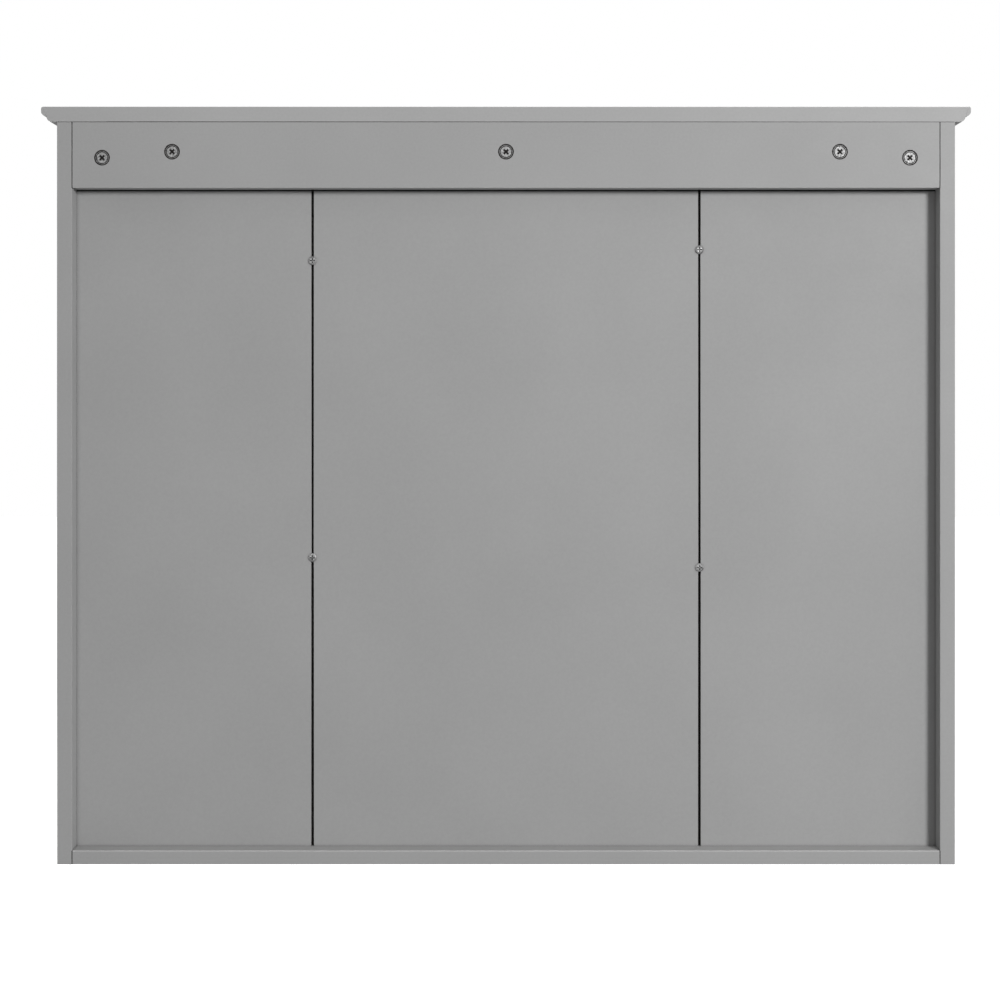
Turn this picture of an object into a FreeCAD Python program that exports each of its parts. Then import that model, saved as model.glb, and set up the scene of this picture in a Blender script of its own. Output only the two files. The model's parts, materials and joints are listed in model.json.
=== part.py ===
import FreeCAD, Part
import math
import os
import re
import Sketcher
from FreeCAD import Placement, Rotation, Vector

# A wall-hung, three-door mirror cabinet, in millimetres. +Z is up and the doors face -Y.
# The origin is the centre of the hanging rail's rear face, on the plane of the wall.
# Left and right are those of a person who faces the doors, so left is -X.

SIZES = {
    # carcass
    "body_width": 898,
    "total_height": 758,
    "carcass_depth": 125,
    "board": 15,
    "bottom_thick": 14,
    "crown_thick": 15,
    "crown_overhang": 16,
    "crown_round": 5,
    "crown_step_in": 0.5,
    "crown_step_up": 0.5,
    "crown_arris": 2,
    "rail_height": 66,
    "back_recess": 18,
    "back_thick": 3,
    "back_seam": 2.2,
    "groove_depth": 6,
    "groove_slack": 0.1,
    "partition_offset": 195.5,
    "shelf_thick": 12,
    "shelf_setback": 4,
    "shelf_end_gap": 2,
    "shelf_rear_gap": 2,
    "lower_shelf_up": 224,
    "upper_shelf_up": 464,
    "pin_row_inset": 22,
    "pin_step": 32,
    "shelf_pin_radius": 2.5,
    "shelf_pin_in": 7,
    "shelf_pin_collar": 4,
    "shelf_pin_collar_thick": 1.5,
    "shelf_pin_out": 8,
    "shelf_pin_tip": 0.5,
    "cutter_margin": 1,
    # cam locks, their bolts and the other fasteners
    "cam_radius": 7.5,
    "cam_height": 12.5,
    "cam_rim_gap": 0.4,
    "cam_arris": 0.5,
    "cam_ring_outer": 6.15,
    "cam_ring_inner": 5.55,
    "cam_ring_deep": 0.4,
    "cam_slot_long": 6.4,
    "cam_slot_wide": 1.9,
    "cam_slot_deep": 3,
    "cam_reach": 30,
    "cam_end_drop": 36,
    "cam_spread": 334,
    "bolt_thread": 11,
    "bolt_thread_radius": 2.5,
    "bolt_neck_radius": 2,
    "bolt_shank_radius": 3.5,
    "bolt_head_radius": 3.2,
    "bolt_head_gap": 0.3,
    "front_joint": 102,
    "rear_joint": 48,
    "screw_head_radius": 4.2,
    "screw_head_high": 2.4,
    "screw_shank_radius": 1.75,
    "screw_long": 28,
    "left_screw_low": 295.5,
    "left_screw_high": 616.5,
    "right_screw_low": 305.5,
    "right_screw_high": 605.5,
    "partition_screw_long": 40,
    "small_screw_head_radius": 3.2,
    "small_screw_head_high": 1.6,
    "small_screw_long": 13,
    "arm_screw_radius": 2,
    "arm_screw_head_radius": 3,
    "arm_screw_head_high": 2,
    "arm_screw_long": 6,
    "knob_screw_radius": 2,
    "knob_screw_head_radius": 4,
    "knob_screw_head_high": 2.2,
    "knob_screw_in": 8,
    # doors
    "door_thick": 15,
    "door_gap": 3,
    "door_reveal": 1,
    "door_split": 4,
    "door_top_gap": 3,
    "frame_wide": 46,
    "frame_chamfer": 4,
    "rebate_wide": 7,
    "rebate_deep": 9,
    "glass_thick": 3,
    "glass_slack": 0.5,
    "backing_thick": 3,
    "knob_radius": 13,
    "knob_long": 23,
    "knob_crown": 9,
    "knob_dome": 1.5,
    "knob_edge": 8,
    "knob_foot_radius": 8,
    "knob_foot_high": 2,
    "knob_neck_radius": 5.5,
    "knob_neck_low": 5,
    "knob_neck_high": 9,
    "knob_widest": 13.8,
    "knob_inset": 23,
    "knob_up": 95,
    "bumper_radius": 2.4,
    "bumper_shoulder": 1.7,
    "bumper_tip_radius": 1.44,
    "bumper_thick": 2.8,
    "bumper_inset": 30,
    # cup hinges
    "hinge_inset": 90,
    "cup_radius": 17.5,
    "cup_edge": 3,
    "cup_deep": 12,
    "cup_wall": 0.8,
    "flange_thick": 1.2,
    "flange_half_long": 27,
    "flange_margin": 1,
    "flange_round": 6,
    "cup_screw_spread": 22.5,
    "cup_screw_offset": 9.5,
    "pin_in": 7,
    "pin_deep": 8.5,
    "pin_radius": 1.25,
    "pin_half_long": 9.3,
    "eye_radius": 2.2,
    "eye_clearance": 0.05,
    "arm_thick": 1.5,
    "arm_half_wide": 5,
    "arm_stand": 14,
    "arm_jog": 8,
    "plate_high": 7,
    "plate_wing_thick": 2,
    "plate_wing_half_wide": 6,
    "plate_half_long": 22,
    "plate_start": 8,
    "plate_end": 58,
    "plate_screw_back": 37,
    "plate_screw_spread": 16,
    "arm_screw_front": 20,
    "arm_screw_rear": 48,
}

CROWN_REACH = "(carcass_depth + door_gap + door_thick + crown_overhang)"
HALF_INSIDE = "(body_width / 2 - board)"
UNDERSIDE = "(rail_height / 2 + crown_thick - total_height)"
FLOOR = f"({UNDERSIDE} + bottom_thick)"
CEILING = "(rail_height / 2)"
CLEAR_HEIGHT = f"({CEILING} - {FLOOR})"
DOOR_LOW = f"({UNDERSIDE} + door_reveal)"
DOOR_HIGH = f"({CEILING} - door_top_gap - {DOOR_LOW})"
DOOR_BACK = "(-carcass_depth - door_gap)"
HALF_OVERLAP = "((board - door_split) / 2)"
GROOVE_NEAR = "-(back_recess - groove_slack)"
GROOVE_FAR = "-(back_recess + back_thick + groove_slack)"

RIGHT, LEFT = (1, 0, 0), (-1, 0, 0)
REAR, FRONT = (0, 1, 0), (0, -1, 0)
UP, DOWN = (0, 0, 1), (0, 0, -1)

doc = FreeCAD.newDocument("mirror_cabinet")
sheet = doc.addObject("Spreadsheet::Sheet", "dims")
for row, (alias, size) in enumerate(SIZES.items(), start=1):
    sheet.set(f"A{row}", alias)
    sheet.set(f"B{row}", str(size))
    sheet.setAlias(f"B{row}", alias)
doc.recompute()

nodes = []


# ---------------------------------------------------------------- helpers

def bound(text):
    """The expression with every size's name pointing at its cell in the sheet."""
    return re.sub(r"[a-z_]+", lambda m: f"dims.{m[0]}" if m[0] in SIZES else m[0], str(text))


def value(text):
    """The number that an expression gives now."""
    return float(sheet.evalExpression(bound(text)))


def bind(obj, **expressions):
    for name, text in expressions.items():
        obj.setExpression(name, bound(text))


def put(obj, at=(0, 0, 0), turn=None):
    """Places an object at three expressions, with its x and z axes along the given directions."""
    if turn:
        x_axis, z_axis = Vector(*turn[0]), Vector(*turn[1])
        obj.Placement = Placement(Vector(), Rotation(x_axis, z_axis.cross(x_axis), z_axis, "XYZ"))
    for axis, text in zip("xyz", at):
        obj.setExpression(f"Placement.Base.{axis}", bound(text))
    return obj


def new_sketch(body, plane):
    sketch = body.newObject("Sketcher::SketchObject", f"{body.Name}_{plane}_outline")
    origin_plane = next(f for f in body.Origin.OriginFeatures if f.Role == f"{plane}_Plane")
    sketch.AttachmentSupport = [(origin_plane, "")]
    sketch.MapMode = "FlatFace"
    return sketch


def fix_point(sketch, geometry, point, x, y):
    """Ties one point of a sketch to two expressions, measured from the sketch's origin."""
    for kind, text in (("DistanceX", x), ("DistanceY", y)):
        number = sketch.addConstraint(
            Sketcher.Constraint(kind, -1, 1, geometry, point, value(text)))
        sketch.setExpression(f"Constraints[{number}]", bound(text))


def outline(sketch, corners):
    """A closed outline through (x, y) corners. A third value is the radius of an arc on to the
    next corner: positive turns left, negative turns right."""
    places = [Vector(value(c[0]), value(c[1]), 0) for c in corners]
    pieces = []
    for start, corner in enumerate(corners):
        a, b = places[start], places[(start + 1) % len(places)]
        if len(corner) == 2:
            pieces.append(sketch.addGeometry(Part.LineSegment(a, b), False))
            continue
        radius = value(corner[2])
        across = (b - a).cross(Vector(0, 0, 1)).normalize()
        half = (b - a).Length / 2
        rise = math.sqrt(max(radius ** 2 - half ** 2, 0))
        centre = (a + b) / 2 - across * math.copysign(rise, radius)
        middle = centre + across * math.copysign(abs(radius), radius)
        pieces.append(sketch.addGeometry(Part.Arc(a, middle, b), False))
        number = sketch.addConstraint(Sketcher.Constraint("Radius", pieces[-1], abs(radius)))
        sketch.setExpression(f"Constraints[{number}]", bound(f"abs({corner[2]})"))
    ends = [arc_ends(sketch, piece, places[i]) for i, piece in enumerate(pieces)]
    for i, piece in enumerate(pieces):
        following = (i + 1) % len(pieces)
        sketch.addConstraint(Sketcher.Constraint(
            "Coincident", piece, ends[i][1], pieces[following], ends[following][0]))
        fix_point(sketch, piece, ends[i][0], corners[i][0], corners[i][1])


def arc_ends(sketch, piece, start):
    """Which of a piece's two end points is its start: an arc's may be either."""
    if (sketch.getPoint(piece, 1) - start).Length < 1e-6:
        return 1, 2
    return 2, 1


def circles(sketch, radius, centres):
    for x, y in centres:
        circle = Part.Circle(Vector(value(x), value(y), 0), Vector(0, 0, 1), value(radius))
        geometry = sketch.addGeometry(circle, False)
        fix_point(sketch, geometry, 3, x, y)
        number = sketch.addConstraint(Sketcher.Constraint("Radius", geometry, value(radius)))
        sketch.setExpression(f"Constraints[{number}]", bound(radius))


def cross(sketch, half, wide):
    """A plus sign: half is the length of an arm and wide is half of its width."""
    outline(sketch, [
        (wide, wide), (wide, half), (f"-{wide}", half), (f"-{wide}", wide),
        (f"-{half}", wide), (f"-{half}", f"-{wide}"), (f"-{wide}", f"-{wide}"),
        (f"-{wide}", f"-{half}"), (wide, f"-{half}"), (wide, f"-{wide}"),
        (half, f"-{wide}"), (half, wide)])


def pad(body, sketch, length, both_ways=False, reversed_way=False):
    feature = body.newObject("PartDesign::Pad", f"{body.Name}_pad")
    feature.Profile = sketch
    feature.SideType = "Symmetric" if both_ways else "One side"
    feature.Reversed = reversed_way
    bind(feature, Length=length)
    doc.recompute()
    return feature


def pocket(body, sketch, depth=None, reversed_way=False):
    """A pocket of one depth, or right through both ways where no depth is given."""
    before = body.Shape.Volume
    feature = body.newObject("PartDesign::Pocket", f"{body.Name}_pocket")
    feature.Profile = sketch
    feature.Reversed = reversed_way
    if depth is None:
        feature.SideType = "Symmetric"
        feature.Type = "ThroughAll"
    else:
        bind(feature, Length=depth)
    doc.recompute()
    if body.Shape.Volume >= before:
        raise RuntimeError(f"{feature.Name} cuts nothing")
    return feature


def new_body(label):
    body = doc.addObject("PartDesign::Body", label)
    body.Label = label
    return body


def prism(label, plane, corners, length, both_ways=False):
    """A body with one outline on an origin plane, padded along that plane's normal."""
    body = new_body(label)
    sketch = new_sketch(body, plane)
    outline(sketch, corners)
    pad(body, sketch, length, both_ways)
    return body


def turned(label, profile, axis="V_Axis"):
    """A body turned about its own z axis from (radius, height) corners, or about its x axis from
    (distance, radius) corners where the axis is H_Axis."""
    body = new_body(label)
    sketch = new_sketch(body, "XZ")
    outline(sketch, profile)
    feature = body.newObject("PartDesign::Revolution", f"{label}_turn")
    feature.Profile = sketch
    feature.ReferenceAxis = (sketch, [axis])
    feature.Angle = 360
    doc.recompute()
    return body


def box(label, size, at):
    """A plain board, block or strip from its low corner."""
    block = doc.addObject("Part::Box", label)
    block.Label = label
    bind(block, Length=size[0], Width=size[1], Height=size[2])
    return put(block, at)


def kept_in_place(label, piece):
    """A master that still has its piece's own offset when it is copied elsewhere."""
    compound = doc.addObject("Part::Compound", label)
    compound.Links = [piece]
    return compound


def rod(label, radius, length, start=(0, 0, 0), turn=None):
    """A plain round rod from a start point: a pin, or the path of a drill."""
    cylinder = doc.addObject("Part::Cylinder", f"{label}_rod")
    bind(cylinder, Radius=radius, Height=length)
    return kept_in_place(label, put(cylinder, start, turn))


def node(obj):
    nodes.append(obj)
    return obj


def copies(label, master, places):
    """One node that holds a copy of a master piece at each place."""
    links = []
    for number, (at, turn) in enumerate(places, start=1):
        link = doc.addObject("App::Link", f"{label}_{number}")
        link.LinkedObject = master
        links.append(put(link, at, turn))
    compound = doc.addObject("Part::Compound", label)
    compound.Label = label
    compound.Links = links
    return compound


def cut(label, blank, *tools):
    """A piece drilled or bored by tools, each a (master, places) pair."""
    blank.Label = f"{label}_blank"
    for number, (master, places) in enumerate(tools, start=1):
        cutters = copies(f"{label}_tool_{number}", master, places)
        result = doc.addObject("Part::Cut", f"{label}_cut_{number}")
        result.Base = blank
        result.Tool = cutters
        blank = result
    blank.Label = label
    return blank


# ---------------------------------------------------------------- fasteners and their bores

# A cam joint's own frame: its face is at z = 0 and looks along +Z, and its bolt runs along +X.

def cam_lock():
    body = turned("cam_lock_master", [
        (0, "-cam_height"),
        ("cam_radius", "-cam_height"),
        ("cam_radius", "-cam_arris"),
        ("cam_radius - cam_arris", 0),
        ("cam_ring_outer", 0),
        ("cam_ring_outer", "-cam_ring_deep"),
        ("cam_ring_inner", "-cam_ring_deep"),
        ("cam_ring_inner", 0),
        (0, 0)])
    recess = new_sketch(body, "XY")
    recess.AttachmentOffset = Placement(Vector(), Rotation(Vector(0, 0, 1), 45))
    cross(recess, "cam_slot_long / 2", "cam_slot_wide / 2")
    pocket(body, recess, "cam_slot_deep")
    mouth = new_sketch(body, "XZ")
    half = "(bolt_head_radius + bolt_head_gap)"
    outline(mouth, [
        (f"-{half}", f"-board / 2 - {half}"),
        ("cam_radius + cutter_margin", f"-board / 2 - {half}"),
        ("cam_radius + cutter_margin", f"-board / 2 + {half}"),
        (f"-{half}", f"-board / 2 + {half}")])
    slot = pocket(body, mouth, f"2 * {half}")
    slot.SideType = "Symmetric"
    return body


def cam_bolt():
    """A bolt along the joint's line: its head in the cam, a neck, a shank and a thread."""
    return turned("cam_bolt_master", [
        ("-bolt_head_radius", 0),
        ("-bolt_head_radius", "bolt_head_radius"),
        ("bolt_head_radius - 1", "bolt_head_radius"),
        ("bolt_head_radius - 1", "bolt_neck_radius"),
        ("cam_radius + 2", "bolt_neck_radius"),
        ("cam_radius + 2", "bolt_shank_radius"),
        ("cam_reach", "bolt_shank_radius"),
        ("cam_reach", "bolt_thread_radius"),
        ("cam_reach + bolt_thread", "bolt_thread_radius"),
        ("cam_reach + bolt_thread", 0)], axis="H_Axis")


def pan_screw(label, head_radius, head_high, shank_radius, length):
    """A pan-head screw, its seat at z = 0, its head up and its shank down."""
    body = turned(label, [
        (0, f"-({length})"),
        (shank_radius, f"-({length})"),
        (shank_radius, 0),
        (head_radius, 0),
        (head_radius, f"({head_high}) * 0.4"),
        (f"({head_radius}) * 0.6", head_high),
        (0, head_high)])
    recess = new_sketch(body, "XY")
    cross(recess, f"({head_radius}) * 0.55", f"({head_radius}) * 0.16")
    recess.setExpression("AttachmentOffset.Base.z", bound(head_high))
    pocket(body, recess, f"({head_high}) * 0.6")
    return body


def countersunk_screw(label, head_radius, shank_radius, length):
    """A countersunk screw, the top of its head at z = 0 and its shank down."""
    sink = f"(({head_radius}) - ({shank_radius}))"
    return turned(label, [
        (0, f"-({length})"),
        (shank_radius, f"-({length})"),
        (shank_radius, f"-{sink}"),
        (head_radius, 0),
        (0, 0)])


lock = cam_lock()
bolt = kept_in_place("cam_bolt_in_joint", put(cam_bolt(), (0, 0, "-board / 2")))
cam_well = rod("cam_well", "cam_radius + cam_rim_gap", "cam_height + cutter_margin",
               (0, 0, "-cam_height"))
bolt_way = rod("bolt_way", "bolt_shank_radius", "cam_reach + cutter_margin",
               (0, 0, "-board / 2"), (DOWN, RIGHT))
bolt_hole = rod("bolt_hole", "bolt_thread_radius", "bolt_thread + cutter_margin",
                ("cam_reach - cutter_margin", 0, "-board / 2"), (DOWN, RIGHT))

CAM_LEVEL = f"({CEILING} - cam_reach)"
rail_to_side = [((f"{s} * ({HALF_INSIDE} - cam_reach)", 0, f"{CEILING} - cam_end_drop"), (way, REAR))
                for s, way in ((1, RIGHT), (-1, LEFT))]
rail_to_crown = [((f"{s} * cam_spread", 0, CAM_LEVEL), (UP, REAR)) for s in (-1, 0, 1)]
side_to_crown = {s: [((f"{s} * {HALF_INSIDE}", f"-{y}", CAM_LEVEL), (UP, face))
                     for y in ("front_joint", "rear_joint")]
                 for s, face in ((1, LEFT), (-1, RIGHT))}
partition_to_crown = {s: [((f"{s} * (partition_offset + board / 2)", f"-{y}", CAM_LEVEL), (UP, face))
                          for y in ("front_joint", "rear_joint")]
                      for s, face in ((1, RIGHT), (-1, LEFT))}
bottom_to_side = {s: [((f"{s} * ({HALF_INSIDE} - cam_reach)", f"-{y}", UNDERSIDE), (way, DOWN))
                      for y in ("front_joint", "rear_joint")]
                  for s, way in ((1, RIGHT), (-1, LEFT))}
all_cams = rail_to_side + rail_to_crown
for group in (side_to_crown, partition_to_crown, bottom_to_side):
    all_cams += group[-1] + group[1]
node(copies("cam_locks", lock, all_cams))
node(copies("cam_bolts", bolt, all_cams))

SCREW_HEIGHTS = {-1: ("left_screw_low", "left_screw_high"), 1: ("right_screw_low", "right_screw_high")}
back_screw = pan_screw("back_screw_master", "screw_head_radius", "screw_head_high",
                       "screw_shank_radius", "screw_long")
back_screw_places = {s: [((f"{s} * partition_offset", "-back_recess", f"{UNDERSIDE} + {up}"), (RIGHT, REAR))
                         for up in SCREW_HEIGHTS[s]] for s in (-1, 1)}
node(copies("back_panel_screws", back_screw, back_screw_places[-1] + back_screw_places[1]))
back_screw_path = rod("back_screw_path", "screw_shank_radius", "screw_long + cutter_margin",
                      (0, 0, "-screw_long"))

partition_screw = countersunk_screw("partition_screw_master", "screw_head_radius",
                                    "screw_shank_radius", "partition_screw_long")
partition_screw_places = {s: [((f"{s} * partition_offset", f"-{y}", UNDERSIDE), (RIGHT, DOWN))
                              for y in ("front_joint", "rear_joint")] for s in (-1, 1)}
node(copies("partition_screws", partition_screw,
            partition_screw_places[-1] + partition_screw_places[1]))

# ---------------------------------------------------------------- shelves, their pins and pin holes

SHELF_LEVELS = {"lower": "lower_shelf_up", "upper": "upper_shelf_up"}
PIN_ROWS = ("-carcass_depth + pin_row_inset", "-back_recess - back_thick - pin_row_inset")
COMPARTMENTS = {
    "left": (f"-{HALF_INSIDE}", "-partition_offset - board / 2"),
    "centre": ("-partition_offset + board / 2", "partition_offset - board / 2"),
    "right": ("partition_offset + board / 2", HALF_INSIDE),
}

shelf_pin = turned("shelf_pin_master", [
    (0, "-shelf_pin_in"),
    ("shelf_pin_radius", "-shelf_pin_in"),
    ("shelf_pin_radius", 0),
    ("shelf_pin_collar", 0),
    ("shelf_pin_collar", "shelf_pin_collar_thick"),
    ("shelf_pin_radius", "shelf_pin_collar_thick"),
    ("shelf_pin_radius", "shelf_pin_out"),
    ("shelf_pin_radius - shelf_pin_tip", "shelf_pin_out + shelf_pin_tip"),
    (0, "shelf_pin_out + shelf_pin_tip")])
pin_drill = rod("pin_drill", "shelf_pin_radius", "shelf_pin_in + cutter_margin",
                (0, 0, "-shelf_pin_in"))
pin_places = []
pin_holes = {name: {"low": [], "high": []} for name in COMPARTMENTS}
for name, (low, high) in COMPARTMENTS.items():
    for level, up in SHELF_LEVELS.items():
        top = f"{FLOOR} + {up}"
        node(box(f"{name}_{level}_shelf",
                 (f"{high} - ({low}) - 2 * shelf_end_gap",
                  "carcass_depth - shelf_setback - back_recess - back_thick - shelf_rear_gap",
                  "shelf_thick"),
                 (f"{low} + shelf_end_gap", "-carcass_depth + shelf_setback", top)))
        for wall, x, way in (("low", low, RIGHT), ("high", high, LEFT)):
            turn = (FRONT, way)
            for y in PIN_ROWS:
                pin_places.append(((x, y, f"{top} - shelf_pin_radius"), turn))
                for step in (-1, 0, 1):
                    height = f"{top} - shelf_pin_radius + {step} * pin_step"
                    pin_holes[name][wall].append(((x, y, height), turn))
node(copies("shelf_pins", shelf_pin, pin_places))

# ---------------------------------------------------------------- hinges

# A hinge's own frame: x runs in from the door's hinge edge, y = 0 is the door's rear face with
# +Y towards the wall, and z = 0 is the hinge's middle. A turn of 180 degrees about y mirrors it.
KNUCKLE = ("pin_in", "-pin_deep")
CUP_MIDDLE = "(cup_edge + cup_radius)"
ARM_END = "(door_gap + plate_end)"
OPENS_LEFT, OPENS_RIGHT = (RIGHT, UP), (LEFT, DOWN)


def hinge_cup():
    body = new_body("hinge_cup_master")
    shell = new_sketch(body, "XZ")
    circles(shell, "cup_radius", [(CUP_MIDDLE, 0)])
    pad(body, shell, "cup_deep")
    hollow = new_sketch(body, "XZ")
    circles(hollow, "cup_radius - cup_wall", [(CUP_MIDDLE, 0)])
    pocket(body, hollow, "cup_deep - cup_wall", reversed_way=True)
    flange = new_sketch(body, "XZ")
    low, high = "(cup_edge - flange_margin)", f"({CUP_MIDDLE} + cup_radius + flange_margin)"
    end, r = "flange_half_long", "flange_round"
    outline(flange, [
        (f"{low} + {r}", f"-{end}"), (f"{high} - {r}", f"-{end}", r), (high, f"-{end} + {r}"),
        (high, f"{end} - {r}", r), (f"{high} - {r}", end), (f"{low} + {r}", end, r),
        (low, f"{end} - {r}"), (low, f"-{end} + {r}", r)])
    circles(flange, "cup_radius - cup_wall", [(CUP_MIDDLE, 0)])
    circles(flange, "screw_shank_radius", cup_screw_centres())
    pad(body, flange, "flange_thick", reversed_way=True)
    pin_hole = new_sketch(body, "XY")
    circles(pin_hole, "pin_radius", [KNUCKLE])
    pocket(body, pin_hole)
    return body


def cup_screw_centres():
    return [(f"{CUP_MIDDLE} + cup_screw_offset", f"{s} * cup_screw_spread") for s in (-1, 1)]


def hinge_arm(label, jogged):
    """A strip from the eye on the pin, along the cup, out of it and back over the plate. The
    jogged one steps sideways, so that its door overlaps only half of its board."""
    x_out = "(pin_in + arm_stand)"
    shift = f"({x_out} - ({HALF_OVERLAP} + plate_high))" if jogged else "0"
    low, high = "(-pin_deep - arm_thick / 2)", "(-pin_deep + arm_thick / 2)"
    leave = "(pin_in + sqrt(eye_radius ^ 2 - (arm_thick / 2) ^ 2))"
    corners = [(leave, low), (f"{x_out} + arm_thick", low)]
    if jogged:
        corners += [(f"{x_out} + arm_thick", "arm_jog + arm_thick"),
                    (f"{x_out} + arm_thick - {shift}", "arm_jog + arm_thick")]
    corners += [(f"{x_out} + arm_thick - {shift}", ARM_END), (f"{x_out} - {shift}", ARM_END)]
    if jogged:
        corners += [(f"{x_out} - {shift}", "arm_jog"), (x_out, "arm_jog")]
    corners += [(x_out, high), (leave, high, "eye_radius")]
    body = new_body(label)
    sketch = new_sketch(body, "XY")
    outline_with_long_arc(sketch, corners)
    circles(sketch, "pin_radius + eye_clearance", [KNUCKLE])
    pad(body, sketch, "2 * arm_half_wide", both_ways=True)
    return body


def outline_with_long_arc(sketch, corners):
    """The arm's outline: straight runs, closed by the eye's arc, which is over half a turn."""
    points = [Vector(value(c[0]), value(c[1]), 0) for c in corners]
    lines = [sketch.addGeometry(Part.LineSegment(a, b), False) for a, b in zip(points, points[1:])]
    centre = Vector(value("pin_in"), value("-pin_deep"), 0)
    far_side = centre - Vector(value("eye_radius"), 0, 0)
    arc = sketch.addGeometry(Part.Arc(points[-1], far_side, points[0]), False)
    fix_point(sketch, arc, 3, *KNUCKLE)
    for i, line in enumerate(lines):
        fix_point(sketch, line, 1, corners[i][0], corners[i][1])
        if i:
            sketch.addConstraint(Sketcher.Constraint("Coincident", lines[i - 1], 2, line, 1))
    fix_point(sketch, lines[-1], 2, corners[-1][0], corners[-1][1])
    first, last = arc_ends(sketch, arc, points[-1])
    sketch.addConstraint(Sketcher.Constraint("Coincident", lines[-1], 2, arc, first))
    number = sketch.addConstraint(
        Sketcher.Constraint("DistanceY", -1, 1, arc, last, points[0].y))
    sketch.setExpression(f"Constraints[{number}]", bound(corners[0][1]))


def hinge_plate():
    """The plate under an arm. Its own frame: x = 0 is its board's face, y = 0 the front edge."""
    body = new_body("hinge_plate_master")
    base = new_sketch(body, "YZ")
    near = "(plate_screw_back - plate_wing_half_wide)"
    far = "(plate_screw_back + plate_wing_half_wide)"
    half, wing = "arm_half_wide", "plate_half_long"
    outline(base, [
        ("plate_start", f"-{half}"), (near, f"-{half}"), (near, f"-{wing}"), (far, f"-{wing}"),
        (far, f"-{half}"), ("plate_end", f"-{half}"), ("plate_end", half), (far, half),
        (far, wing), (near, wing), (near, half), ("plate_start", half)])
    circles(base, "screw_shank_radius", plate_screw_centres())
    pad(body, base, "plate_wing_thick")
    ridge = new_sketch(body, "YZ")
    outline(ridge, [
        ("plate_start", f"-{half}"), ("plate_end", f"-{half}"), ("plate_end", half),
        ("plate_start", half)])
    pad(body, ridge, "plate_high")
    return body


def plate_screw_centres():
    return [("plate_screw_back", f"{s} * plate_screw_spread") for s in (-1, 1)]


cup = hinge_cup()
pin = rod("hinge_pin", "pin_radius", "2 * pin_half_long", (*KNUCKLE, "-pin_half_long"))
cup_well = rod("cup_well", "cup_radius", "cup_deep + cutter_margin",
               (CUP_MIDDLE, "-cup_deep", 0), (RIGHT, REAR))
side_arm = hinge_arm("side_arm_master", jogged=False)
centre_arm = hinge_arm("centre_arm_master", jogged=True)
plate = hinge_plate()

small_screw = pan_screw("small_screw_master", "small_screw_head_radius", "small_screw_head_high",
                        "screw_shank_radius", "small_screw_long")
small_screw_path = rod("small_screw_path", "screw_shank_radius",
                       "small_screw_long + cutter_margin", (0, 0, "-small_screw_long"))
arm_screw = pan_screw("arm_screw_master", "arm_screw_head_radius", "arm_screw_head_high",
                      "arm_screw_radius", "arm_screw_long")
arm_screw_path = rod("arm_screw_path", "arm_screw_radius", "arm_screw_long + cutter_margin",
                     (0, 0, "-arm_screw_long"))

HINGE_HEIGHTS = (f"{DOOR_LOW} + hinge_inset", f"{DOOR_LOW} + {DOOR_HIGH} - hinge_inset")
DOORS = {
    # name: low x, width, side its hinges are on, x of the hinge board's face
    "left": ("-body_width / 2 + door_reveal",
             "body_width / 2 - door_reveal - partition_offset - door_split / 2", -1,
             f"-{HALF_INSIDE}"),
    "centre": ("-partition_offset + door_split / 2", "2 * partition_offset - door_split", -1,
               "-partition_offset + board / 2"),
    "right": ("partition_offset + door_split / 2",
              "body_width / 2 - door_reveal - partition_offset - door_split / 2", 1,
              HALF_INSIDE),
}


def mirrored(side):
    """The turn that a hinge's pieces take on a door hinged at its left or right edge."""
    return OPENS_LEFT if side < 0 else OPENS_RIGHT


plate_places, plate_screw_places, arm_screw_places = [], [], []
arm_places = {"side": [], "centre": []}
board_plate_holes = {name: [] for name in DOORS}
for name, (low, wide, side, face) in DOORS.items():
    edge = low if side < 0 else f"{low} + {wide}"
    inward = -side
    for height in HINGE_HEIGHTS:
        kind = "centre" if name == "centre" else "side"
        arm_places[kind].append(((edge, DOOR_BACK, height), mirrored(side)))
        plate_places.append(((face, "-carcass_depth", height), mirrored(side)))
        for s in (-1, 1):
            place = ((f"{face} + {inward} * plate_wing_thick", "-carcass_depth + plate_screw_back",
                      f"{height} + {s} * plate_screw_spread"), (REAR, (inward, 0, 0)))
            plate_screw_places.append(place)
            board_plate_holes[name].append(place)
        for back in ("arm_screw_front", "arm_screw_rear"):
            arm_screw_places.append(((f"{face} + {inward} * (plate_high + arm_thick)",
                                      f"-carcass_depth + {back}", height), (REAR, (inward, 0, 0))))
node(cut("hinge_plates", copies("hinge_plate_blanks", plate, plate_places),
         (arm_screw_path, arm_screw_places)))
for kind, master in (("side", side_arm), ("centre", centre_arm)):
    node(cut(f"{kind}_door_hinge_arms", copies(f"{kind}_arm_blanks", master, arm_places[kind]),
             (arm_screw_path, arm_screw_places)))
node(copies("hinge_plate_screws", small_screw, plate_screw_places))
node(copies("hinge_arm_screws", arm_screw, arm_screw_places))

# ---------------------------------------------------------------- carcass boards


def crown_edge(reach, across, up, radius_sign):
    """The routed edge from the underside up: two quarter rounds with a step between, a lip and
    a small round on top. reach is how far out the lip stands."""
    r, step_in, step_up, top = "crown_round", "crown_step_in", "crown_step_up", "crown_arris"
    turn = f"{radius_sign} * {r}"
    return [
        (across(f"{reach} - 2 * {r} - {step_in}"), up("0"), turn),
        (across(f"{reach} - {r} - {step_in}"), up(r)),
        (across(f"{reach} - {r}"), up(r)),
        (across(f"{reach} - {r}"), up(f"{r} + {step_up}"), turn),
        (across(reach), up(f"2 * {r} + {step_up}")),
        (across(reach), up(f"crown_thick - {top}"), f"{radius_sign} * {top}"),
        (across(f"{reach} - {top}"), up("crown_thick")),
    ]


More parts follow.
